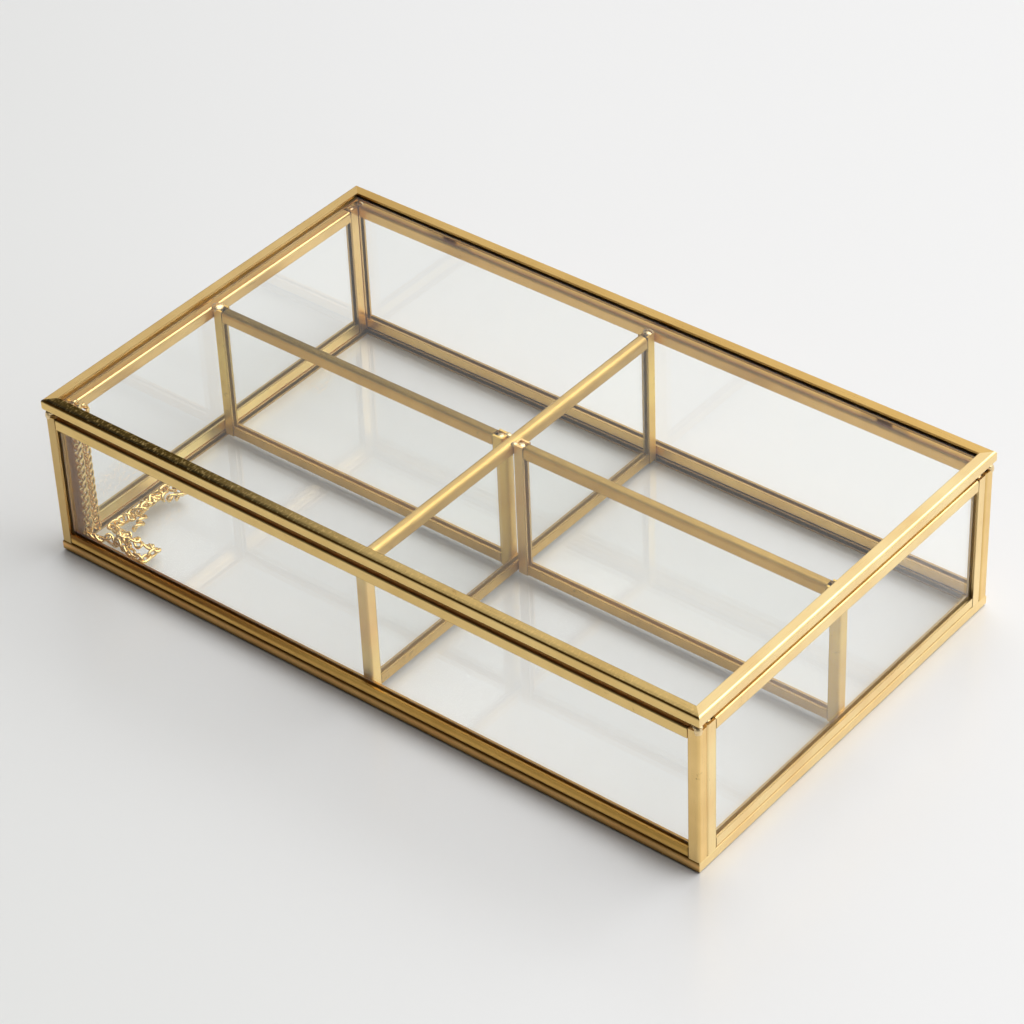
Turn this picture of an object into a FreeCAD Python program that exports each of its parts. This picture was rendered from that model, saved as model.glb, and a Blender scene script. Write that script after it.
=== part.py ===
import FreeCAD, Part
import math
import os

# A shallow glass jewelry box edged in folded brass channel, with a hinged glass lid on a stay chain
# and three upright dividers that make four compartments.
# X runs to the right along the long side, Y to the rear and Z up; the origin is the middle of the
# footprint, on the surface that the box stands on. All sizes are in millimetres.

# Overall sizes
lid_length = 220.0  # left to right
lid_depth = 131.0  # front to rear
body_height = 46.3  # standing surface to the rim
lid_overhang = 0.45  # lid past the body, on every side
lid_gap = 1.8  # rim to the underside of the closed lid
divider_drop = 0.2  # divider caps below the rim

# Glass and the brass channel that edges it
glass_thick = 2.0
glass_fit = 0.1  # pane to channel leg, each side
glass_end_gap = 0.5  # pane edge to channel web
channel_sheet = 0.65  # brass sheet
channel_leg = 3.4  # outer depth of the channel
channel_bend = 0.75  # outer bend radius of the frame channels
cap_bend = 1.35  # rounder bend on the divider caps
butt_gap = 0.25  # open butt joint between a rail and its stile

# Solder beads on the corner posts, which carry the closed lid
bead_foot_radius = 1.65
bead_top_radius = 0.9
bead_seat = 0.05  # bead to lid

# Tube hinges behind the rear rim
hinge_spread = 150.0  # between the middles of the two hinges
hinge_tube_radius = 1.2
hinge_pin_radius = 0.6
hinge_pin_fit = 0.05
hinge_knuckle = 5.0
hinge_knuckle_gap = 0.15
hinge_leaf = 0.5  # leaf past the lid's rear face
hinge_leaf_reach = 3.0  # hinge axis to the end of a leaf

# Stay chain, of round-ended links turned a quarter from one to the next
link_length = 4.36
link_width = 2.8
link_wire = 0.7
link_play = 0.07  # free play between two links
wire_sides = 6
turn_links = 2  # across a turn of the heap, an even count
front_links = 7  # heap along the front wall, an odd count
side_links = 8  # heap along the left wall, an even count
chain_side_gap = 0.4  # hanging strands to the left wall
chain_front_gap = 1.6  # hanging strand to the front wall
chain_floor_gap = 0.3  # heap to the floor glass
peg_glass_gap = 0.3  # link on the lid's peg to the lid glass
peg_seat = 2.1  # length of the lid's peg under the lid bar
peg_root_radius = 0.6  # root of the body's peg
peg_root_length = 0.6
peg_head_radius = 0.55
peg_head_length = 0.4

# Sizes that follow
channel_web = glass_thick + 2 * (glass_fit + channel_sheet)
pane_inset = channel_sheet + glass_end_gap
rail_inset = channel_leg + butt_gap
lid_half_x = lid_length / 2
lid_half_y = lid_depth / 2
body_half_x = lid_half_x - lid_overhang
body_half_y = lid_half_y - lid_overhang
wall_x = body_half_x - channel_web / 2
wall_y = body_half_y - channel_web / 2
inner_half_x = body_half_x - channel_web
inner_half_y = body_half_y - channel_web
floor_top = (channel_web + glass_thick) / 2
lid_bottom = body_height + lid_gap
lid_middle = lid_bottom + channel_web / 2
wire_radius = link_wire / 2
link_half_width = link_width / 2
link_pitch = link_length - 2 * link_wire - link_play

right = FreeCAD.Vector(1, 0, 0)
rear = FreeCAD.Vector(0, 1, 0)
up = FreeCAD.Vector(0, 0, 1)
left = right * -1
front = rear * -1
down = up * -1

hinge_axis = FreeCAD.Vector(0, lid_half_y + hinge_tube_radius, body_height + lid_gap / 2)
strand_x = chain_side_gap + link_half_width - inner_half_x
drop_y = chain_front_gap + link_half_width - inner_half_y
lid_peg_z = lid_middle - glass_thick / 2 - peg_glass_gap - 1.5 * link_wire - link_play
lid_peg = FreeCAD.Vector(strand_x, drop_y, lid_peg_z)
body_peg = FreeCAD.Vector(strand_x, drop_y + link_pitch, body_height - channel_leg / 2)
heap_z = floor_top + chain_floor_gap + link_half_width


def save(name, *solids):
    shape = solids[0] if len(solids) == 1 else Part.makeCompound(solids)
    shape.exportStep("parts/" + name + ".step")


def turned(shape, start, along, opens):
    # Puts the shape's own origin at start, its X along one direction and its Z along the other
    shape.Placement = FreeCAD.Placement(start, FreeCAD.Rotation(along, opens.cross(along), opens, "XZY"))
    return shape


# Folded channel and glass

def channel(length, bend):
    # U channel along X, with the middle of its web on the X axis and its legs upwards
    def point(y, z):
        return FreeCAD.Vector(0, y, z)

    half = channel_web / 2
    slot = half - channel_sheet
    bulge = bend * (1 - math.sqrt(0.5))
    profile = (
        Part.LineSegment(point(-half, channel_leg), point(-half, bend)),
        Part.Arc(point(-half, bend), point(bulge - half, bulge), point(bend - half, 0)),
        Part.LineSegment(point(bend - half, 0), point(half - bend, 0)),
        Part.Arc(point(half - bend, 0), point(half - bulge, bulge), point(half, bend)),
        Part.LineSegment(point(half, bend), point(half, channel_leg)),
        Part.LineSegment(point(half, channel_leg), point(slot, channel_leg)),
        Part.LineSegment(point(slot, channel_leg), point(slot, channel_sheet)),
        Part.LineSegment(point(slot, channel_sheet), point(-slot, channel_sheet)),
        Part.LineSegment(point(-slot, channel_sheet), point(-slot, channel_leg)),
        Part.LineSegment(point(-slot, channel_leg), point(-half, channel_leg)),
    )
    outline = Part.Wire([piece.toShape() for piece in profile])
    return Part.Face(outline).extrude(right * length)


def mitred_channel(length):
    bar = channel(length, channel_bend)
    for end, reach in ((0, channel_leg), (length, -channel_leg)):
        foot = FreeCAD.Vector(end, -channel_web / 2, 0)
        top = foot + up * channel_leg
        waste = Part.Face(Part.makePolygon([foot, top, top + right * reach, foot]))
        bar = bar.cut(waste.extrude(rear * channel_web))
    return bar


def pane(length, height):
    return Part.makeBox(length, glass_thick, height, FreeCAD.Vector(0, -glass_thick / 2, 0))


def lying_frame(name, half_x, half_y, middle):
    # Four mitred channels round a lying pane
    sides = (
        ("front", FreeCAD.Vector(-half_x, -half_y, middle), right, 2 * half_x),
        ("right", FreeCAD.Vector(half_x, -half_y, middle), rear, 2 * half_y),
        ("rear", FreeCAD.Vector(half_x, half_y, middle), left, 2 * half_x),
        ("left", FreeCAD.Vector(-half_x, half_y, middle), front, 2 * half_y),
    )
    for side, start, along, length in sides:
        bar = mitred_channel(length)
        save(name + "_" + side + "_bar", turned(bar, start, along, up.cross(along)))
    pane_x = half_x - pane_inset
    pane_y = half_y - pane_inset
    glass = pane(2 * pane_x, 2 * pane_y)
    save(name + "_glass", turned(glass, FreeCAD.Vector(-pane_x, pane_y, middle), right, front))


def upright_frame(name, start, along, length, top, end_names, top_bend):
    # Standing pane between two full-height stiles, with a rail below and another on top
    height = top - start.z
    stiles = ((end_names[0], start, along), (end_names[1], start + along * length, along * -1))
    for end, foot, opens in stiles:
        save(name + "_" + end + "_stile", turned(channel(height, channel_bend), foot, up, opens))
    rail_start = start + along * rail_inset
    rail_length = length - 2 * rail_inset
    bottom_rail = channel(rail_length, channel_bend)
    top_rail = channel(rail_length, top_bend)
    save(name + "_bottom_rail", turned(bottom_rail, rail_start, along, up))
    save(name + "_top_rail", turned(top_rail, rail_start + up * height, along, down))
    glass = pane(length - 2 * pane_inset, height - 2 * pane_inset)
    save(name + "_glass", turned(glass, start + (along + up) * pane_inset, along, up))


# Walls, dividers and beads

def make_walls():
    for side, place in (("front", -wall_y), ("rear", wall_y)):
        start = FreeCAD.Vector(-body_half_x, place, channel_web)
        upright_frame(side, start, right, 2 * body_half_x, body_height, ("left", "right"), channel_bend)
    for side, place in (("left", -wall_x), ("right", wall_x)):
        start = FreeCAD.Vector(place, -inner_half_y, channel_web)
        upright_frame(side, start, rear, 2 * inner_half_y, body_height, ("front", "rear"), channel_bend)


def make_dividers():
    top = body_height - divider_drop
    start = FreeCAD.Vector(0, -inner_half_y, floor_top)
    upright_frame("cross_divider", start, rear, 2 * inner_half_y, top, ("front", "rear"), cap_bend)
    length = inner_half_x - channel_web / 2
    for side, along in (("left", right), ("right", left)):
        start = along * -inner_half_x + up * floor_top
        upright_frame(side + "_divider", start, along, length, top, ("outer", "inner"), cap_bend)


def make_beads():
    bead = Part.makeCone(bead_foot_radius, bead_top_radius, lid_gap - bead_seat)
    corners = [FreeCAD.Vector(x, y, body_height) for x in (-wall_x, wall_x) for y in (-wall_y, wall_y)]
    save("corner_beads", *[bead.translated(corner) for corner in corners])


# Tube hinges

def knuckle(start_x, leaf_front, leaf_bottom):
    # Tube with a leaf that lies on the face it is soldered to
    start = hinge_axis + right * start_x
    tube = Part.makeCylinder(hinge_tube_radius, hinge_knuckle, start, right)
    bore = Part.makeCylinder(hinge_pin_radius + hinge_pin_fit, hinge_knuckle, start, right)
    leaf_thick = lid_half_y + hinge_leaf - leaf_front
    corner = FreeCAD.Vector(start_x, leaf_front, leaf_bottom)
    leaf = Part.makeBox(hinge_knuckle, leaf_thick, hinge_leaf_reach, corner)
    return tube.fuse(leaf).cut(bore).removeSplitter()


def make_hinges():
    # Each hinge has a knuckle of the lid between two of the body
    step = hinge_knuckle + hinge_knuckle_gap
    pin_length = 2 * step + hinge_knuckle
    body_knuckles = []
    lid_knuckles = []
    pins = []
    for middle in (-hinge_spread / 2, hinge_spread / 2):
        start_x = middle - hinge_knuckle / 2
        lid_knuckles.append(knuckle(start_x, lid_half_y, hinge_axis.z))
        for place in (start_x - step, start_x + step):
            body_knuckles.append(knuckle(place, body_half_y, hinge_axis.z - hinge_leaf_reach))
        pin_start = hinge_axis + right * (middle - pin_length / 2)
        pins.append(Part.makeCylinder(hinge_pin_radius, pin_length, pin_start, right))
    save("hinge_body_knuckles", *body_knuckles)
    save("hinge_lid_knuckles", *lid_knuckles)
    save("hinge_pins", *pins)


# Stay chain

def chain_link():
    # Closed loop of wire in the XY plane, long in X, with three straight stretches round each end
    loop_radius = link_half_width - wire_radius
    bend_x = link_length / 2 - wire_radius - loop_radius * math.cos(math.radians(30))
    corners = []
    for middle_x, first in ((bend_x, -90), (-bend_x, 90)):
        for turn in range(0, 181, 60):
            angle = math.radians(first + turn)
            corners.append(FreeCAD.Vector(
                middle_x + loop_radius * math.cos(angle), loop_radius * math.sin(angle), 0))
    loop = Part.makePolygon(corners + corners[:1])
    section = []
    for side in range(wire_sides + 1):
        angle = 2 * math.pi * (side + 0.5) / wire_sides
        offset = FreeCAD.Vector(0, math.cos(angle), math.sin(angle)) * wire_radius
        section.append(front * loop_radius + offset)
    return loop.makePipeShell([Part.makePolygon(section)], True, False, 1)


def chain_run(name, start, along, width, count, pitch=link_pitch):
    # Links one after another from a pivot; returns the pivot at the far end
    first = link_length / 2 - 1.5 * link_wire - link_play
    link = chain_link()
    links = []
    for number in range(count):
        across = width if number % 2 == 0 else along.cross(width)
        middle = start + along * (first + number * pitch)
        links.append(turned(link.copy(), middle, along, along.cross(across)))
    save("chain_" + name, *links)
    return start + along * (count * pitch)


def make_peg(name, pivot, start_x, root_radius, root_length):
    # Wire peg along X with a thicker root and a flat head that keeps the link on it
    start = FreeCAD.Vector(start_x, pivot.y, pivot.z)
    end = pivot + right * link_half_width
    root = Part.makeCylinder(root_radius, root_length, start, right)
    wire = Part.makeCylinder(wire_radius, end.x - start_x, start, right)
    head = Part.makeCylinder(peg_head_radius, peg_head_length, end, right)
    save(name, root.fuse(wire).fuse(head).removeSplitter())


def make_chain():
    # The drop hangs from the lid and goes on in a heap along two walls; the tail hangs from the body.
    # The drop has an odd count of links, and its play takes up what is left of its length
    drop_length = lid_peg.z - heap_z
    drop_links = 2 * math.ceil((drop_length / link_pitch - 1) / 2) + 1
    tail_length = body_peg.z - wire_radius - chain_floor_gap - floor_top
    tail_links = int(tail_length / link_pitch)
    route = (
        ("front_out", front_links, right, up),
        ("front_turn", turn_links, rear, right),
        ("front_back", front_links - 1, left, rear),
        ("side_out", side_links, rear, right),
        ("side_turn", turn_links, right, rear),
        ("side_back", side_links - 1, front, right),
    )
    pivot = chain_run("drop", lid_peg, down, rear, drop_links, drop_length / drop_links)
    for name, count, along, width in route:
        pivot = chain_run(name, pivot, along, width, count)
    chain_run("tail", body_peg, down, rear, tail_links)
    lid_bar_edge = channel_leg - lid_half_x
    make_peg("chain_lid_peg", lid_peg, lid_bar_edge - peg_seat, lid_bottom - lid_peg.z, peg_seat)
    make_peg("chain_body_peg", body_peg, -inner_half_x, peg_root_radius, peg_root_length)


os.makedirs("parts", exist_ok=True)
lying_frame("base", body_half_x, body_half_y, channel_web / 2)
lying_frame("lid", lid_half_x, lid_half_y, lid_middle)
make_walls()
make_dividers()
make_beads()
make_hinges()
make_chain()
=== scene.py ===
import math

import bmesh
import bpy
import numpy as np
from mathutils import Matrix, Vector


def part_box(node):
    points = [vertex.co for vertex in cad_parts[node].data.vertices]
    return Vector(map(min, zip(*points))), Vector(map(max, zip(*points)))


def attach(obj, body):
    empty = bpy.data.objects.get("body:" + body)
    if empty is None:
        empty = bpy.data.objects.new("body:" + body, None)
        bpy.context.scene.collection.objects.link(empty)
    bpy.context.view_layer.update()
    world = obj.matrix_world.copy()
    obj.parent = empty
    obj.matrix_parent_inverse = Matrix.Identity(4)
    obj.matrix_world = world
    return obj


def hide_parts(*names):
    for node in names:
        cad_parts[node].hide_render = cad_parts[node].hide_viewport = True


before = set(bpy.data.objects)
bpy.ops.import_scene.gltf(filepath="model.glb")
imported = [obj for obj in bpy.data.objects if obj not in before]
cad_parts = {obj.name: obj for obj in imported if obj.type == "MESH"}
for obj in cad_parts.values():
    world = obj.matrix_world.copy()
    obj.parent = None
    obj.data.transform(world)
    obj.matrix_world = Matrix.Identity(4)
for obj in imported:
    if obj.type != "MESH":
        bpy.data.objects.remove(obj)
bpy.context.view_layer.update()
print("frame loaded:", len(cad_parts), "nodes")

scene = bpy.context.scene
scene.view_settings.view_transform = "Standard"
mm = 0.001
noiseSpan = (0.3, 0.7)  # most of a noise texture's values lie between these


# helpers for node trees

def plug(tree, socket, value):
    # a socket takes either a link from another node's socket or a plain value
    if isinstance(value, bpy.types.NodeSocket):
        tree.links.new(value, socket)
    else:
        socket.default_value = value


def addNode(tree, kind, values=None, **settings):
    node = tree.nodes.new(kind)
    for name, value in settings.items():
        setattr(node, name, value)
    for name, value in (values or {}).items():
        plug(tree, node.inputs[name], value)
    return node


def calculate(tree, operation, *values, clamp=False):
    node = addNode(tree, "ShaderNodeMath", dict(enumerate(values)), operation=operation, use_clamp=clamp)
    return node.outputs[0]


def remap(tree, value, before, after=(0.0, 1.0), kind="LINEAR"):
    # carries one range of values over to another and holds it at the ends
    values = {"Value": value, "From Min": before[0], "From Max": before[1],
              "To Min": after[0], "To Max": after[1]}
    node = addNode(tree, "ShaderNodeMapRange", values, interpolation_type=kind)
    return node.outputs["Result"]


def noise(tree, place, scale, detail, roughness=0.5):
    values = {"Vector": place, "Scale": scale, "Detail": detail, "Roughness": roughness}
    return addNode(tree, "ShaderNodeTexNoise", values).outputs["Fac"]


def blend(tree, share, first, second, kind="RGBA"):
    values = {"Factor": share, "A": first, "B": second}
    return addNode(tree, "ShaderNodeMix", values, data_type=kind).outputs["Result"]


def newGroup(name, inputs, outputs):
    tree = bpy.data.node_groups.new(name, "ShaderNodeTree")
    for socket, kind in inputs.items():
        tree.interface.new_socket(socket, in_out="INPUT", socket_type="NodeSocket" + kind)
    for socket in outputs:
        tree.interface.new_socket(socket, in_out="OUTPUT", socket_type="NodeSocketFloat")
    return tree, addNode(tree, "NodeGroupInput").outputs, addNode(tree, "NodeGroupOutput").inputs


def addGroup(tree, group, values):
    return addNode(tree, "ShaderNodeGroup", values, node_tree=group).outputs


def newMaterial(name):
    material = bpy.data.materials.new(name)
    material.use_nodes = True
    tree = material.node_tree
    return material, tree, tree.nodes["Principled BSDF"]


# helpers for meshes and for things that look at the box

def gridMesh(name, points, closedU, closedV):
    # points is an array of shape (u, v, 3) or (copies, u, v, 3); neighbours on the grid share a quad
    points = np.asarray(points, dtype=float)
    points = points[None] if points.ndim == 3 else points
    copies, rows, columns = points.shape[:3]
    u = np.arange(rows if closedU else rows - 1)
    v = np.arange(columns if closedV else columns - 1)
    u, v = np.meshgrid(u, v, indexing="ij")
    nextU = (u + 1) % rows
    nextV = (v + 1) % columns
    corners = [u * columns + v, nextU * columns + v, nextU * columns + nextV, u * columns + nextV]
    quads = np.stack([corner.ravel() for corner in corners], axis=1)
    shift = np.arange(copies)[:, None, None] * rows * columns
    quads = (quads[None] + shift).reshape(-1, 4)
    mesh = bpy.data.meshes.new(name)
    mesh.from_pydata(points.reshape(-1, 3).tolist(), [], quads.tolist())
    # points that fall together, as at a pole, become one
    cleaner = bmesh.new()
    cleaner.from_mesh(mesh)
    bmesh.ops.remove_doubles(cleaner, verts=cleaner.verts, dist=1e-7)
    cleaner.to_mesh(mesh)
    cleaner.free()
    mesh.shade_smooth()
    obj = bpy.data.objects.new(name, mesh)
    scene.collection.objects.link(obj)
    return obj


def placeHolder(name, data, place, sideways, upwards, back):
    # a lamp or camera looks along its own -Z, so its axes are the three given directions
    holder = bpy.data.objects.new(name, data)
    turn = Matrix(np.stack([sideways, upwards, back], axis=1).tolist()).to_4x4()
    holder.matrix_world = Matrix.Translation(place) @ turn
    scene.collection.objects.link(holder)
    return holder


# effects that several materials share

grainLook = {"lineDetail": 3.0, "lineRough": 0.6,
             "patchScale": 55.0, "patchDetail": 3.0, "patchRough": 0.55}
tarnishLook = {"broadScale": 70.0, "broadDetail": 2.0,
               "fineScale": 900.0, "fineDetail": 4.0, "fineRough": 0.65, "contrast": 5.0}
seamLook = {"swayScale": 60.0, "swayDetail": 1.0, "sway": (0.96, 1.04), "fade": (0.35, 1.0)}


def buildBrushedGrain(look):
    # fine lines from noise that the caller has stretched along the bar, and broad soft patches
    inputs = {"Lines Vector": "Vector", "Place": "Vector"}
    tree, start, end = newGroup("brushedGrain", inputs, ["Lines", "Patches"])
    lines = noise(tree, start["Lines Vector"], 1.0, look["lineDetail"], look["lineRough"])
    patches = noise(tree, start["Place"], look["patchScale"], look["patchDetail"], look["patchRough"])
    plug(tree, end["Lines"], lines)
    plug(tree, end["Patches"], patches)
    return tree


def buildTarnish(look):
    # specks and stains: fine noise kept only where a broad noise is high
    tree, start, end = newGroup("tarnish", {"Place": "Vector", "Reach": "Float"}, ["Mask"])
    broad = noise(tree, start["Place"], look["broadScale"], look["broadDetail"])
    fine = noise(tree, start["Place"], look["fineScale"], look["fineDetail"], look["fineRough"])
    over = calculate(tree, "SUBTRACT", calculate(tree, "MULTIPLY", broad, fine), start["Reach"])
    plug(tree, end["Mask"], calculate(tree, "MULTIPLY", over, look["contrast"], clamp=True))
    return tree


def buildSeam(look):
    # line that starts full at a lip or gap and fades over its width, which sways a little along the bar
    inputs = {"Distance": "Float", "Width": "Float", "Strength": "Float", "Place": "Vector"}
    tree, start, end = newGroup("seam", inputs, ["Mask"])
    wander = noise(tree, start["Place"], look["swayScale"], look["swayDetail"])
    reach = calculate(tree, "MULTIPLY", start["Width"], remap(tree, wander, noiseSpan, look["sway"]))
    share = calculate(tree, "DIVIDE", calculate(tree, "ABSOLUTE", start["Distance"]), reach)
    fade = remap(tree, share, look["fade"], (1.0, 0.0))
    plug(tree, end["Mask"], calculate(tree, "MULTIPLY", fade, start["Strength"]))
    return tree


brushedGrain = buildBrushedGrain(grainLook)
tarnish = buildTarnish(tarnishLook)
seam = buildSeam(seamLook)


def addGrain(tree, place, stretch, turn=(0.0, 0.0, 0.0)):
    mapping = addNode(tree, "ShaderNodeMapping", {"Vector": place, "Scale": stretch, "Rotation": turn})
    return addGroup(tree, brushedGrain, {"Lines Vector": mapping.outputs["Vector"], "Place": place})


# brass channel: satin sheet with fine lines along each bar and brown lines where the sheet ends, painted shade
# in gaps, slots and folds, and painted light on side faces

brassLook = {
    "frame": {
        # stainAndShade colours real stains and also the painted shade in gaps, slots and folds
        "shade": (0.70, 0.43, 0.125), "light": (0.87, 0.58, 0.20), "stainAndShade": (0.27, 0.125, 0.025, 1),
        "stainReach": 0.40, "gloss": (0.26, 0.36),
        "lip": 0.18 * mm, "lipDark": 0.45, "gap": 0.40 * mm, "gapDark": 0.95, "slotDark": 0.35,
        # paintedLight: painted light, side faces and posts paler than front faces as if more brightly lit
        "paintedLight": {"front": (1.0, 1.0, 1.0), "post": (1.12, 1.2, 1.5), "side": (1.26, 1.40, 2.1)},
    },
    "divider": {
        # stainAndShade colours real stains and also the painted shade in gaps, slots and folds
        "shade": (0.56, 0.36, 0.10), "light": (0.79, 0.54, 0.17), "stainAndShade": (0.25, 0.13, 0.035, 1),
        "stainReach": 0.365, "gloss": (0.44, 0.56),
        "lip": 0.18 * mm, "lipDark": 0.45, "gap": 0.30 * mm, "gapDark": 0.7, "slotDark": 0.05,
        # paintedLight: painted light, as on the frame
        "paintedLight": {"front": (1.2, 1.15, 1.1), "post": (1.4, 1.38, 1.35), "side": (0.97, 0.98, 1.1)},
    },
    "lineWidth": 0.12 * mm, "lineLength": 10 * mm, "lineTone": 0.22, "patchTone": (0.1, 0.75),
    "bump": 0.3, "bumpDepth": 0.01 * mm, "slotHalf": 1.12 * mm, "slotStart": 0.4 * mm,
    "fleckSpan": (0.52, 0.70), "fleckDetail": 2.0,
}

# painted shade, standing in for dark reflections: tint, share at its two ends along X, depth below the bar's
# top where it starts and is full
dividerPaintedShade = {
    "tint": (0.10, 0.065, 0.012, 1), "span": (-85 * mm, 90 * mm), "share": (0.88, 0.45),
    "depth": (0.6 * mm, 0.2 * mm), "marks": (300.0, 1900.0, 1900.0), "fleck": 0.85,
}

# what single bars have of their own
# tone multiplies a bar's colour: on the front bars it sets the hue; on the rear rails, the left bottom rail
# and two divider stiles it is painted light; on the two left front stiles it is painted shade. gap widens the
# painted shade at a seam
barLook = {
    "lid_front_bar": {
        "tone": (1.12, 1.22, 1.45), "fold": {"back": 0.5 * mm, "down": 0.6 * mm},
        "paintedShade": {
            "tint": (0.075, 0.043, 0.002, 1), "span": (-70 * mm, 30 * mm), "share": (1.0, 0.3),
            "depth": (0.9 * mm, 0.2 * mm), "marks": (1900.0, 700.0, 700.0), "fleck": 0.55,
            "edge": (0.9 * mm, 1.7 * mm), "edgeTint": (0.022, 0.013, 0.001, 1),
        },
    },
    "lid_left_bar": {"slotDark": 0.0},
    "lid_rear_bar": {"slotDark": 1.0},
    "base_front_bar": {
        "tone": (1.3, 1.15, 1.3), "gap": 1.2 * mm,
        "paintedShade": {
            "tint": (0.26, 0.13, 0.012, 1), "span": (-100 * mm, 100 * mm), "share": (0.8, 0.8),
            "depth": (1.8 * mm, 2.8 * mm), "marks": (60.0, 500.0, 500.0), "fleck": 0.9,
        },
    },
    "base_right_bar": {"gap": 0.3 * mm},
    "front_top_rail": {"tone": (1.10, 1.20, 1.45)},
    "front_bottom_rail": {
        "tone": (1.05, 1.0, 0.78), "gap": 0.8 * mm,
        "paintedShade": {
            "tint": (0.21, 0.078, 0.003, 1), "span": (-60 * mm, 0.0), "share": (0.95, 0.4),
            "depth": (1.9 * mm, 1.1 * mm), "marks": (60.0, 500.0, 500.0), "fleck": 0.8,
        },
    },
    "front_left_stile": {"tone": 0.75},
    "rear_top_rail": {"tone": 1.12, "gap": 0.0},
    "rear_bottom_rail": {"tone": 1.18},
    "left_front_stile": {"tone": (0.5, 0.42, 0.28)},
    "left_bottom_rail": {"tone": 1.2},
    "right_bottom_rail": {"slotDark": 0.85, "gap": 0.2 * mm},
    "cross_divider_front_stile": {"tone": (1.15, 1.05, 1.5)},
    "left_divider_top_rail": {"paintedShade": dividerPaintedShade},
    "right_divider_top_rail": {"paintedShade": dividerPaintedShade},
    "right_divider_inner_stile": {"tone": (1.15, 1.05, 1.5)},
}


def measureBar(node):
    # long axis, axis towards the pane, axis across both, outer face, and the lip that holds the pane
    low, high = (np.array(corner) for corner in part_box(node))
    panes = [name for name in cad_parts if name.endswith("_glass")]
    pane = max((name for name in panes if node.startswith(name[:-len("glass")])), key=len)
    paneLow, paneHigh = (np.array(corner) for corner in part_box(pane))
    axis = int(np.argmax(high - low))
    toPane = (paneLow + paneHigh - low - high) / 2
    toPane[axis] = 0.0
    inward = int(np.argmax(np.abs(toPane)))
    outer, lip = (low, high) if toPane[inward] > 0 else (high, low)
    return {"low": low, "high": high, "axis": axis, "inward": inward, "across": 3 - axis - inward,
            "outer": float(outer[inward]), "lip": float(lip[inward])}


def facing(node, bar):
    # painted light: bars that face the side are painted paler than those that face the front, as if more
    # brightly lit, and posts lie between
    if bar["axis"] == 0:
        return "front"
    if node.startswith(("left_", "lid_left", "base_left")):
        return "post"
    if bar["axis"] == 1 or (bar["inward"] == 1 and "divider" not in node):
        return "side"
    return "post"


def seamLines(node, bar, look, own):
    # axis, place, width and strength of the brown lines: at the lip, and painted shade at the face that looks
    # into a gap
    lines = [(bar["inward"], bar["lip"], look["lip"], look["lipDark"])]
    isFront = bar["axis"] == 0
    width = own.get("gap", look["gap"] if isFront else 0.0)
    strength = look["gapDark"] if isFront else 1.0
    if width and (node.startswith("lid_") or node.endswith("_bottom_rail")):
        lines.append((2, float(bar["low"][2]), width, strength))
    if width and (node.startswith("base_") or (node.endswith("_top_rail") and "divider" not in node)):
        lines.append((2, float(bar["high"][2]), width, strength))
    return lines


def seamMask(tree, place, apart, axis, at, width, strength):
    distance = calculate(tree, "SUBTRACT", apart["XYZ"[axis]], at)
    values = {"Distance": distance, "Width": width, "Strength": strength, "Place": place}
    return addGroup(tree, seam, values)["Mask"]


def insideMask(tree, apart, bar, strength):
    # painted shade inside the slot: full on the faces inside the slot, near the middle of the bar and away
    # from its outer face
    across = bar["across"]
    middle = float(bar["low"][across] + bar["high"][across]) / 2
    fromMiddle = calculate(tree, "SUBTRACT", apart["XYZ"[across]], middle)
    fromOuter = calculate(tree, "SUBTRACT", apart["XYZ"[bar["inward"]]], bar["outer"])
    near = calculate(tree, "LESS_THAN", calculate(tree, "ABSOLUTE", fromMiddle), brassLook["slotHalf"])
    deep = calculate(tree, "GREATER_THAN", calculate(tree, "ABSOLUTE", fromOuter), brassLook["slotStart"])
    return calculate(tree, "MULTIPLY", calculate(tree, "MULTIPLY", near, deep), strength)


def foldMask(tree, apart, bar, look):
    # painted shade along the fold between the top and the front face: full near the front and near the top
    front = float(bar["low"][1])
    top = float(bar["high"][2])
    nearFront = remap(tree, apart["Y"], (front + look["back"] / 2, front + look["back"]), (1.0, 0.0))
    nearTop = remap(tree, apart["Z"], (top - look["down"], top - look["down"] / 2))
    return calculate(tree, "MULTIPLY", nearFront, nearTop)


def addPaintedShade(tree, place, apart, colour, bar, look):
    # painted shade, standing in for dark reflections: darker brass that fades along the bar and over its
    # height, with short paler flecks, and on some bars is darkest along the front edge
    top = float(bar["high"][2])
    mapping = addNode(tree, "ShaderNodeMapping", {"Vector": place, "Scale": look["marks"]})
    marks = noise(tree, mapping.outputs["Vector"], 1.0, brassLook["fleckDetail"])
    flecks = remap(tree, marks, brassLook["fleckSpan"], (1.0, look["fleck"]))
    along = remap(tree, apart["X"], look["span"], look["share"], "SMOOTHSTEP")
    height = remap(tree, apart["Z"], [top - depth for depth in look["depth"]])
    mask = calculate(tree, "MULTIPLY", calculate(tree, "MULTIPLY", along, flecks), height)
    colour = blend(tree, mask, colour, look["tint"])
    if "edge" in look:
        front = float(bar["low"][1])
        nearFront = remap(tree, apart["Y"], [front + back for back in look["edge"]], (1.0, 0.0))
        colour = blend(tree, calculate(tree, "MULTIPLY", nearFront, mask), colour, look["edgeTint"])
    return colour


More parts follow.
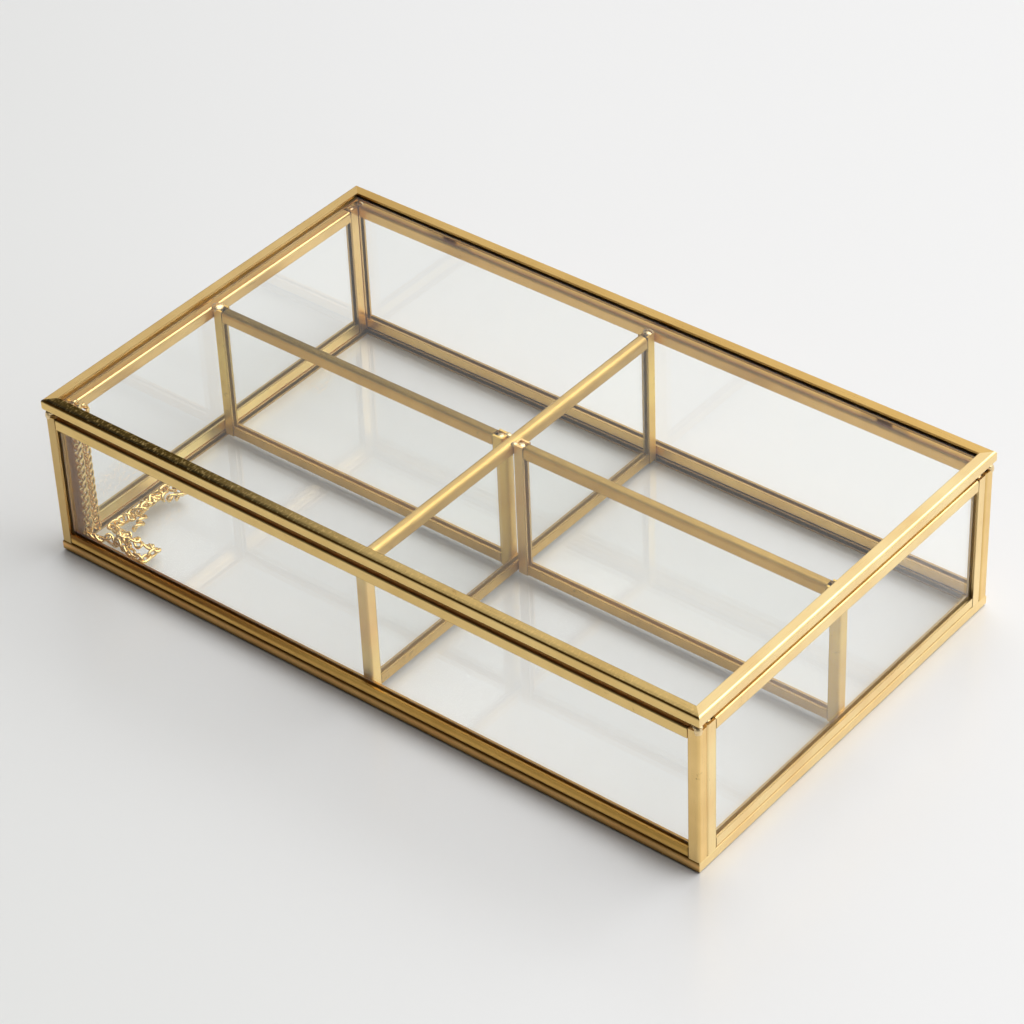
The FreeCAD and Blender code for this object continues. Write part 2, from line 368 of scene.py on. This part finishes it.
def channelBrass(node):
    bar = measureBar(node)
    look = brassLook["divider" if "divider" in node else "frame"]
    own = barLook.get(node, {})
    material, tree, shader = newMaterial("brass_" + node)
    place = addNode(tree, "ShaderNodeTexCoord").outputs["Object"]
    apart = addNode(tree, "ShaderNodeSeparateXYZ", {"Vector": place}).outputs
    stretch = [1 / brassLook["lineWidth"]] * 3
    stretch[bar["axis"]] = 1 / brassLook["lineLength"]
    grain = addGrain(tree, place, stretch)
    # tone: mostly the broad patches, a little of the fine lines
    patches = remap(tree, grain["Patches"], noiseSpan, brassLook["patchTone"])
    tone = calculate(tree, "MULTIPLY_ADD", grain["Lines"], brassLook["lineTone"], patches)
    # painted light: the facing factor makes side faces and posts paler than front faces, and the bar's own
    # tone adds painted light or shade on some bars
    paintedLight = np.array(look["paintedLight"][facing(node, bar)]) * own.get("tone", 1.0)
    shade = np.minimum(look["shade"] * paintedLight, 1.0).tolist() + [1.0]
    light = np.minimum(look["light"] * paintedLight, 1.0).tolist() + [1.0]
    colour = blend(tree, tone, shade, light)
    if "paintedShade" in own:
        colour = addPaintedShade(tree, place, apart, colour, bar, own["paintedShade"])
    # brown: real stains anywhere and lines along lips, with painted shade in gaps, inside slots and along
    # folds
    brown = addGroup(tree, tarnish, {"Place": place, "Reach": look["stainReach"]})["Mask"]
    masks = [seamMask(tree, place, apart, *line) for line in seamLines(node, bar, look, own)]
    masks.append(insideMask(tree, apart, bar, own.get("slotDark", look["slotDark"])))
    if "fold" in own:
        masks.append(foldMask(tree, apart, bar, own["fold"]))
    for mask in masks:
        brown = calculate(tree, "MAXIMUM", brown, mask)
    bump = {"Strength": brassLook["bump"], "Distance": brassLook["bumpDepth"], "Height": grain["Lines"]}
    plug(tree, shader.inputs["Base Color"], blend(tree, brown, colour, look["stainAndShade"]))
    plug(tree, shader.inputs["Roughness"], remap(tree, grain["Lines"], noiseSpan, look["gloss"]))
    plug(tree, shader.inputs["Normal"], addNode(tree, "ShaderNodeBump", bump).outputs["Normal"])
    plug(tree, shader.inputs["Metallic"], 1.0)
    return material


# polished brass of the chain, the hinges and the solder

polishLook = {
    "bead": {"dark": (0.70, 0.48, 0.21, 1), "bright": (1.0, 0.81, 0.50, 1), "gloss": (0.20, 0.38)},
    "chain": {"dark": (0.86, 0.58, 0.20, 1), "bright": (1.0, 0.80, 0.40, 1), "gloss": (0.07, 0.15)},
    "hinge": {"dark": (0.55, 0.36, 0.13, 1), "bright": (0.78, 0.55, 0.24, 1), "gloss": (0.24, 0.38)},
    "patch": 1500.0,
}


def polishedBrass(name, look):
    # metal whose tone and gloss change in small soft patches
    material, tree, shader = newMaterial(name)
    place = addNode(tree, "ShaderNodeTexCoord").outputs["Object"]
    patches = addGrain(tree, place, [polishLook["patch"]] * 3)["Lines"]
    plug(tree, shader.inputs["Base Color"], blend(tree, patches, look["dark"], look["bright"]))
    plug(tree, shader.inputs["Roughness"], remap(tree, patches, noiseSpan, look["gloss"]))
    plug(tree, shader.inputs["Metallic"], 1.0)
    return material


# clear panes

glassLook = {"tint": (0.993, 1.0, 0.990, 1), "shadowTint": (1.0, 1.0, 1.0, 1), "index": 1.45,
             "wipes": (30.0, 55.0, 30.0), "wipeTurn": (0.0, 0.0, 0.5), "wipeSpan": (0.45, 0.75),
             "haze": (0.0, 0.012)}


def clearGlass(look):
    # clear pane with faint cloudy wipe marks in its gloss; shadow and diffuse rays go straight through
    material, tree, shader = newMaterial("clearGlass")
    place = addNode(tree, "ShaderNodeTexCoord").outputs["Object"]
    wipes = addGrain(tree, place, look["wipes"], look["wipeTurn"])["Lines"]
    plug(tree, shader.inputs["Roughness"], remap(tree, wipes, look["wipeSpan"], look["haze"]))
    plug(tree, shader.inputs["Base Color"], look["tint"])
    plug(tree, shader.inputs["Transmission Weight"], 1.0)
    plug(tree, shader.inputs["IOR"], look["index"])
    path = addNode(tree, "ShaderNodeLightPath").outputs
    straight = calculate(tree, "MAXIMUM", path["Is Shadow Ray"], path["Is Diffuse Ray"])
    through = addNode(tree, "ShaderNodeBsdfTransparent", {"Color": look["shadowTint"]})
    shaders = {0: straight, 1: shader.outputs["BSDF"], 2: through.outputs["BSDF"]}
    mixed = addNode(tree, "ShaderNodeMixShader", shaders)
    plug(tree, tree.nodes["Material Output"].inputs["Surface"], mixed.outputs["Shader"])
    return material


beadBrass = polishedBrass("beadBrass", polishLook["bead"])
chainBrass = polishedBrass("chainBrass", polishLook["chain"])
hingeBrass = polishedBrass("hingeBrass", polishLook["hinge"])
paneGlass = clearGlass(glassLook)

for node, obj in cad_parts.items():
    if node.endswith("_glass"):
        material = paneGlass
    elif node.startswith("chain_"):
        material = chainBrass
    elif node.startswith("hinge_"):
        material = hingeBrass
    elif node == "corner_beads":
        material = beadBrass
    else:
        material = channelBrass(node)
    obj.data.materials.clear()
    obj.data.materials.append(material)
print("materials set")


# stay chain: twisted oval links, one piece for each run

chainLook = {
    "solidLength": 4.266 * mm,  # of one link as the frame has it
    "length": 4.70 * mm, "width": 3.05 * mm, "wire": 0.87 * mm, "roundness": 0.85, "steps": 20, "sides": 8,
    "hangPitch": 2.45 * mm, "heapPitch": 1.85 * mm, "squeeze": 0.2, "easeLinks": 3,
    "twist": 90.0, "hangTurn": 42.0, "hangLean": 6.0, "heapLean": 60.0, "heapYaw": 16.0, "heapTurn": 32.0,
    "zigzag": 0.25 * mm,
    # direction of each run and of its links' width, links at its end that stay plain, and its bow in mm
    "runs": {
        "drop": {"along": (0, 0, -1), "width": (0, 1, 0), "plain": 1, "seed": 52},
        "front_out": {"along": (1, 0, 0), "width": (0, 0, 1), "plain": 1, "seed": 28, "bow": (0, 1.5, 0.1)},
        "front_turn": {"along": (0, 1, 0), "width": (1, 0, 0), "plain": 2, "seed": 13},
        "front_back": {"along": (-1, 0, 0), "width": (0, 1, 0), "plain": 2, "seed": 25, "bow": (0, -2.6, 1.9)},
        "side_out": {"along": (0, 1, 0), "width": (1, 0, 0), "plain": 2, "seed": 31, "bow": (1.0, 0, 0.1)},
        "side_turn": {"along": (1, 0, 0), "width": (0, 1, 0), "plain": 2, "seed": 13},
        "side_back": {"along": (0, -1, 0), "width": (1, 0, 0), "plain": 0, "seed": 28, "bow": (-3.2, 0, 2)},
        "tail": {"along": (0, 0, -1), "width": (0, 1, 0), "plain": 0, "seed": 49},
    },
}


def ovalLink(look):
    # centreline: an oval that is long along x; wire: a circle carried round it, in the plane of the
    # oval's outward direction and its normal
    radius = look["wire"] / 2
    half = look["length"] / 2 - radius
    across = look["width"] / 2 - radius
    t = np.linspace(0, 2 * np.pi, look["steps"], endpoint=False)
    s = np.linspace(0, 2 * np.pi, look["sides"], endpoint=False)
    ovalX = half * np.sign(np.cos(t)) * np.abs(np.cos(t)) ** look["roundness"]
    ovalY = across * np.sign(np.sin(t)) * np.abs(np.sin(t)) ** look["roundness"]
    centre = np.stack([ovalX, ovalY], axis=1)
    tangent = np.roll(centre, -1, axis=0) - np.roll(centre, 1, axis=0)
    tangent /= np.linalg.norm(tangent, axis=1, keepdims=True)
    outward = np.stack([tangent[:, 1], -tangent[:, 0]], axis=1)
    x = centre[:, None, 0] + radius * np.cos(s) * outward[:, None, 0]
    y = centre[:, None, 1] + radius * np.cos(s) * outward[:, None, 1]
    z = np.broadcast_to(radius * np.sin(s), x.shape)
    return x, y, z, half


def chainLinks(node, run, look):
    # each link is the oval, twisted by an angle that grows along it, leaned about the run and turned
    # to the side, and then set at its place along the run
    rng = np.random.default_rng(run["seed"])
    linkX, linkY, linkZ, half = ovalLink(look)
    low, high = (np.array(corner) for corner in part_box(node))
    along = np.array(run["along"], dtype=float)
    width = np.array(run["width"], dtype=float)
    third = np.cross(along, width)
    level = np.cross((0, 0, 1), along)
    # the first and last link lie where the solid's do, with closer links between them
    inHeap = "bow" in run
    reach = float(np.abs(along) @ (high - low)) - look["solidLength"]
    first = (low + high) / 2 - along * reach / 2
    count = round(reach / look["heapPitch" if inHeap else "hangPitch"]) + 1
    number = np.arange(count)
    ease = np.clip(np.minimum(number, count - 1 - number) / look["easeLinks"], 0, 1)
    inner = ease ** 2 * (3 - 2 * ease) if inHeap else np.zeros(count)
    gaps = 1 - look["squeeze"] * (inner[1:] + inner[:-1]) / 2
    middle = np.concatenate([[0.0], np.cumsum(gaps)]) / np.sum(gaps) * reach
    # every link twists a quarter over its length, so that all lie alike;
    # the last one or two stay plain where another run goes on from them
    twist = np.where(number < count - run["plain"], math.radians(look["twist"]), 0.0)
    # hanging links turn together a few links in from their ends, links in the heap lean at random
    lean = np.radians(rng.uniform(-1, 1, count))
    if inHeap:
        lean = lean * inner * look["heapLean"]
    else:
        lean = ease * (lean * look["hangLean"] + math.radians(look["hangTurn"]))
    lean[-1] += math.pi / 2 if run["plain"] == 2 else 0.0
    side = (-1.0) ** number
    yaw = np.radians(side * look["heapTurn"] + rng.uniform(-1, 1, count) * look["heapYaw"]) * inner
    yaw = yaw[:, None, None]
    angle = lean[:, None, None] + twist[:, None, None] * (linkX / (2 * half) + 0.5)
    y = linkY * np.cos(angle) - linkZ * np.sin(angle)
    z = linkY * np.sin(angle) + linkZ * np.cos(angle)
    x = linkX * np.cos(yaw) - y * np.sin(yaw) + middle[:, None, None]
    y = linkX * np.sin(yaw) + y * np.cos(yaw)
    # runs in the heap bow out between their ends and step a little from side to side
    bow = np.array(run.get("bow", (0, 0, 0))) * mm + (side * look["zigzag"])[:, None] * level
    bow = inner[:, None] * bow
    points = x[..., None] * along + y[..., None] * width + z[..., None] * third
    return first + points + bow[:, None, None, :]


for name, run in chainLook["runs"].items():
    piece = gridMesh("links_" + name, chainLinks("chain_" + name, run, chainLook), True, True)
    piece.data.materials.append(chainBrass)
    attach(piece, "chain_" + name)
    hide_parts("chain_" + name)
print("chain made:", len(chainLook["runs"]), "runs of links")


# solder: lumpy beads on the corner posts and where the dividers meet, in mm

beadLook = {
    "rows": 18, "columns": 24, "seed": 3, "lump": 0.072, "flat": 0.96, "tall": 1.2,
    "corner": {"radius": 1.35, "height": 1.75, "x": 108.35, "y": 63.85, "z": 46.3},
    "drip": {"radius": 1.12, "height": 3.2, "x": 108.75, "y": 64.25, "z": 44.7},
    # x, y, z and radius of the lumps at the dividers, and of those that each corner post has
    "joints": [
        (-105.4, 0.0, 45.75, 1.9), (105.4, 0.0, 45.75, 1.8), (-1.9, 1.2, 45.7, 1.0), (1.9, -1.0, 45.7, 1.0),
        (0.0, 60.6, 45.6, 1.7), (0.0, -60.6, 45.6, 1.7), (107.2, -61.4, 4.1, 0.8),
        (-3.5, 0.0, 45.2, 1.35), (3.5, 0.0, 45.2, 1.35),
    ],
    "posts": [(107.7, 59.8, 45.9, 1.25), (106.9, 63.2, 45.9, 1.2)],
}


def lumpyBall(centre, radius, height, look, rng, flatTop=False):
    # sphere in longitude and latitude whose radius is swelled by a few low waves, squashed to the height
    lon = np.linspace(0, 2 * np.pi, look["columns"], endpoint=False)
    lat = np.linspace(np.pi / 2, -np.pi / 2, look["rows"])
    lat, lon = np.meshgrid(lat, lon, indexing="ij")
    phase = rng.uniform(0, 2 * np.pi, 3)
    swell = np.sin(2 * lon + phase[0])
    swell = swell + 0.6 * np.sin(3 * lon + 2 * lat + phase[1]) + 0.5 * np.sin(lon + phase[2])
    size = 1 + look["lump"] * np.cos(lat) * swell
    x = radius * size * np.cos(lat) * np.cos(lon)
    y = radius * size * np.cos(lat) * np.sin(lon)
    z = height / 2 * np.sin(lat)
    z = np.clip(z, -height / 2, height / 2 * look["flat"]) if flatTop else z
    return np.stack([x, y, z], axis=-1) + np.array(centre)


def cornerBalls(look, rng):
    balls = []
    for name in ("corner", "drip"):
        bead = look[name]
        middle = bead["z"] + bead["height"] / 2
        for sideX in (-1, 1):
            for sideY in (-1, 1):
                centre = (sideX * bead["x"], sideY * bead["y"], middle)
                balls.append(lumpyBall(centre, bead["radius"], bead["height"], look, rng, name == "corner"))
    return np.array(balls)


def jointBalls(look, rng):
    places = list(look["joints"])
    for x, y, z, radius in look["posts"]:
        places += [(sideX * x, sideY * y, z, radius) for sideX in (-1, 1) for sideY in (1, -1)]
    return np.array([
        lumpyBall((x, y, z), radius, radius * look["tall"], look, rng) for x, y, z, radius in places])


beadRandom = np.random.default_rng(beadLook["seed"])
cornerPiece = gridMesh("solder_corners", cornerBalls(beadLook, beadRandom) * mm, False, True)
jointPiece = gridMesh("solder_joints", jointBalls(beadLook, beadRandom) * mm, False, True)
for piece in (cornerPiece, jointPiece):
    piece.data.materials.append(beadBrass)
    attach(piece, "box")
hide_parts("corner_beads")
print("solder made")


# floor, light and camera

floorLook = {"half": 4.0, "below": 0.1 * mm,
             "pale": (0.805, 0.805, 0.81, 1), "shade": (0.715, 0.72, 0.705, 1),
             "towards": (0.6, 0.8, 0.0), "span": (-0.30, 0.10), "floorShadeShare": (0.9, 0.0),
             "cloudScale": 6.0, "cloudDetail": 3.0, "cloud": 0.1, "rough": 0.30, "gloss": 0.7}


def makeFloor(look):
    # flat grid far past the view, a hair below the box
    side = np.linspace(-look["half"], look["half"], 9)
    x, y = np.meshgrid(side, side, indexing="ij")
    floor = gridMesh("floor", np.stack([x, y, np.full_like(x, -look["below"])], axis=-1), False, False)
    material, tree, shader = newMaterial("paleFloor")
    place = addNode(tree, "ShaderNodeTexCoord").outputs["Object"]
    # painted shade: pale at the rear right and a little darker at the front left, where the box's soft shadow
    # falls, with faint clouds
    across = addNode(tree, "ShaderNodeVectorMath", {0: place, 1: look["towards"]}, operation="DOT_PRODUCT")
    floorShadeShare = remap(tree, across.outputs["Value"], look["span"], look["floorShadeShare"], "SMOOTHSTEP")
    clouds = noise(tree, place, look["cloudScale"], look["cloudDetail"])
    tone = calculate(tree, "MULTIPLY_ADD", clouds, look["cloud"], floorShadeShare)
    plug(tree, shader.inputs["Base Color"], blend(tree, tone, look["pale"], look["shade"]))
    plug(tree, shader.inputs["Roughness"], look["rough"])
    plug(tree, shader.inputs["Specular IOR Level"], look["gloss"])
    floor.data.materials.append(material)


lightLook = {
    "colour": (1.0, 0.997, 0.985, 1), "seen": 0.88,
    "ambient": {"span": (-0.25, 0.5), "level": (0.05, 1.2)},
    "room": {"leftSpan": (-0.70, -0.40), "leftLevel": (0.42, 0.95), "frontSpan": (-0.25, 0.30),
             "frontLevel": (0.10, 1.0)},
    "lamps": {"overhead": {"place": (0.608, 0.713, 2.318), "size": 2.8, "power": 46.0},
              "rearRight": {"place": (1.28, 1.50, 1.53), "size": 2.2, "power": 8.0}},
}


def makeWorld(look):
    # light on matt things comes from the rear, metal sees a room that is darker at the left and in front,
    # and the background behind everything is pale
    world = bpy.data.worlds.new("studio")
    scene.world = world
    world.use_nodes = True
    tree = world.node_tree
    background = tree.nodes["Background"]
    path = addNode(tree, "ShaderNodeLightPath").outputs
    direction = addNode(tree, "ShaderNodeTexCoord").outputs["Generated"]
    apart = addNode(tree, "ShaderNodeSeparateXYZ", {"Vector": direction}).outputs
    room = look["room"]
    leftRight = remap(tree, apart["X"], room["leftSpan"], room["leftLevel"])
    frontRear = remap(tree, apart["Y"], room["frontSpan"], room["frontLevel"])
    ambient = remap(tree, apart["Y"], look["ambient"]["span"], look["ambient"]["level"])
    seen = calculate(tree, "MAXIMUM", path["Is Camera Ray"], path["Is Transmission Ray"])
    strength = blend(tree, seen, ambient, look["seen"], "FLOAT")
    mirrored = calculate(tree, "MULTIPLY", leftRight, frontRear)
    strength = blend(tree, path["Is Glossy Ray"], strength, mirrored, "FLOAT")
    plug(tree, background.inputs["Color"], look["colour"])
    plug(tree, background.inputs["Strength"], strength)


def makeLamp(name, look):
    lamp = bpy.data.lights.new(name, "AREA")
    lamp.shape = "SQUARE"
    lamp.size = look["size"]
    lamp.energy = look["power"]
    # faces the middle of the box
    back = np.array(look["place"]) / np.linalg.norm(look["place"])
    sideways = np.cross((0, 0, 1), back)
    sideways /= np.linalg.norm(sideways)
    placeHolder(name, lamp, look["place"], sideways, np.cross(back, sideways), back)


cameraLook = {"place": (0.496698, -0.589772, 0.622923),
              "azimuth": 40.153, "elevation": 37.913, "roll": -2.523,
              "lens": 127.28, "sensor": 36.0, "farthest": 50.0}


def makeCamera(look):
    # looks along the fitted direction, then rolls about it
    azimuth, elevation, roll = (math.radians(look[name]) for name in ("azimuth", "elevation", "roll"))
    level = np.array([math.cos(azimuth), math.sin(azimuth), 0.0])
    forward = np.array([-math.sin(azimuth), math.cos(azimuth), 0.0])
    ahead = math.cos(elevation) * forward - math.sin(elevation) * np.array([0.0, 0.0, 1.0])
    above = np.cross(level, ahead)
    sideways = math.cos(roll) * level + math.sin(roll) * above
    upwards = math.cos(roll) * above - math.sin(roll) * level
    data = bpy.data.cameras.new("camera")
    data.lens = look["lens"]
    data.sensor_width = look["sensor"]
    data.clip_end = look["farthest"]
    scene.camera = placeHolder("camera", data, look["place"], sideways, upwards, -ahead)


makeFloor(floorLook)
makeWorld(lightLook)
for name, look in lightLook["lamps"].items():
    makeLamp(name, look)
makeCamera(cameraLook)
print("stage set")
